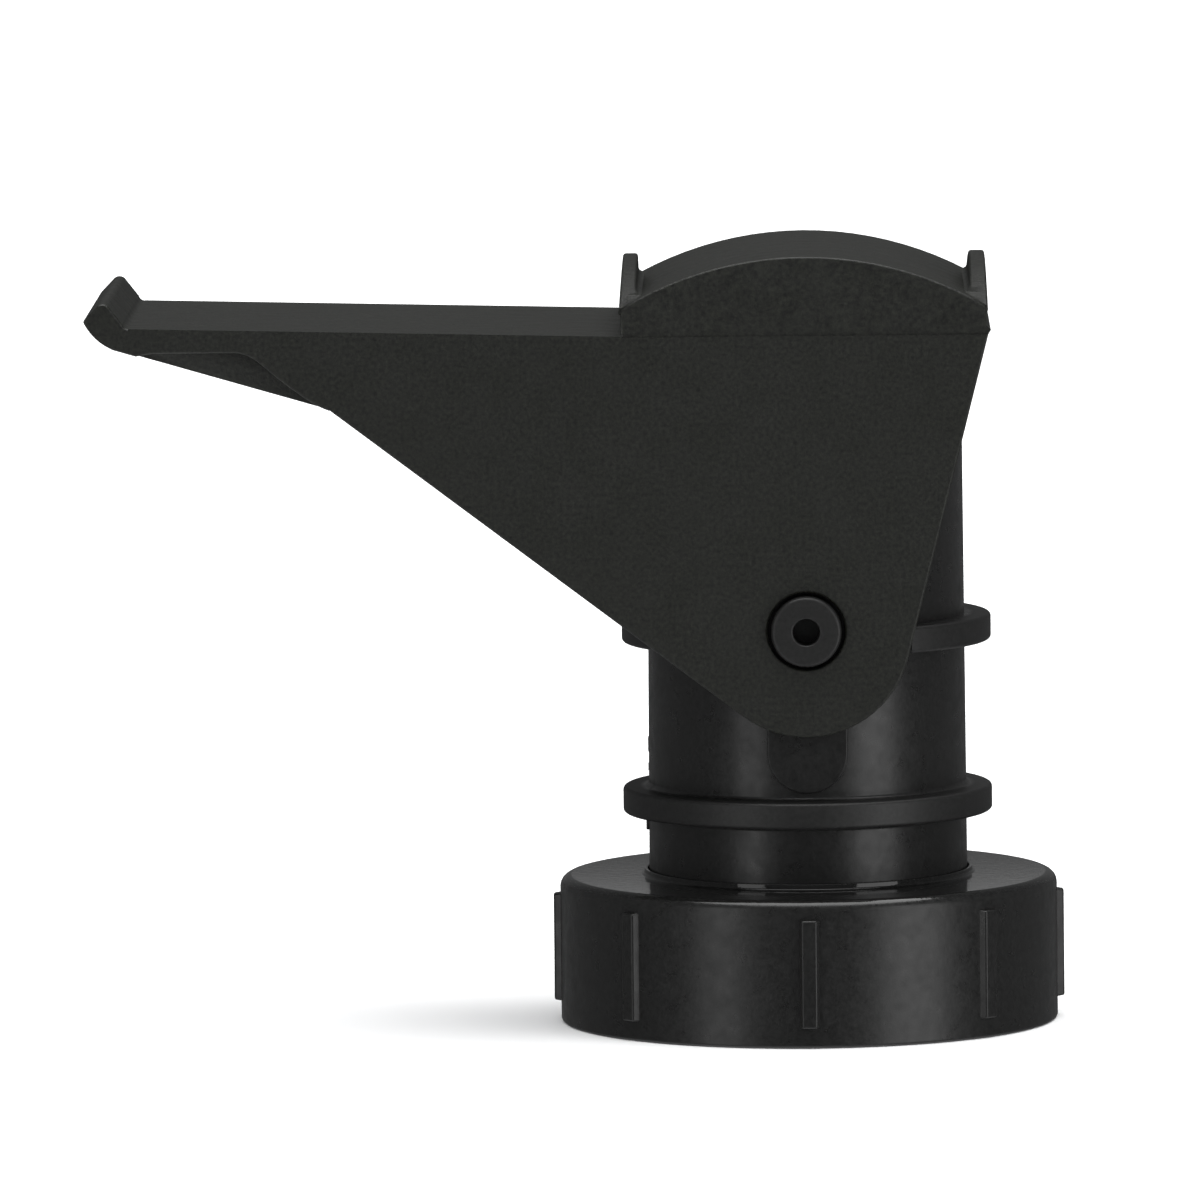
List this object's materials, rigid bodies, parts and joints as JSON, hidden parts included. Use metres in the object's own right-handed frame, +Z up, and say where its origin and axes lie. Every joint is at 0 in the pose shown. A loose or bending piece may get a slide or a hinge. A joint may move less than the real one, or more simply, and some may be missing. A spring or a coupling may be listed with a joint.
{
  "type": "liquor pour spout",
  "caption": "Bottle pour spout with a hinged lever shutter over a saddle-shaped mouth and a swivel screw collar.",
  "frame": {"origin": "centre of the collar nut's mouth, on the body axis, level with the nut's bottom rim", "axes": "+Z up along the body towards the pouring mouth, -X along the lever's arm, Y along the pivot"},
  "size_m": [0.0764, 0.0404, 0.0615],
  "materials": {
    "spout_plastic": "semi-gloss black moulded plastic",
    "lever_plastic": "matte black moulded plastic with a fine grain",
    "nut_plastic": "semi-gloss black moulded plastic",
    "black_rubber": "black rubber"
  },
  "bodies": {
    "spout": {"spout_body": "spout_plastic", "mouth_seal": "black_rubber", "tail_sleeve": "spout_plastic", "sleeve_o_ring": "black_rubber", "bottle_gasket": "black_rubber"},
    "lever": {"lever": "lever_plastic"},
    "nut": {"collar_nut": "nut_plastic"}
  },
  "joints": [
    {"name": "lever_pivot", "type": "hinge", "parent": "spout", "child": "lever", "pos_m": [0, 0, 0.0322], "axis": [0, -1, 0], "range_deg": [0, 62]},
    {"name": "nut_swivel", "type": "hinge", "parent": "spout", "child": "nut", "pos_m": [0, 0, 0], "axis": [0, 0, 1], "continuous": true}
  ]
}
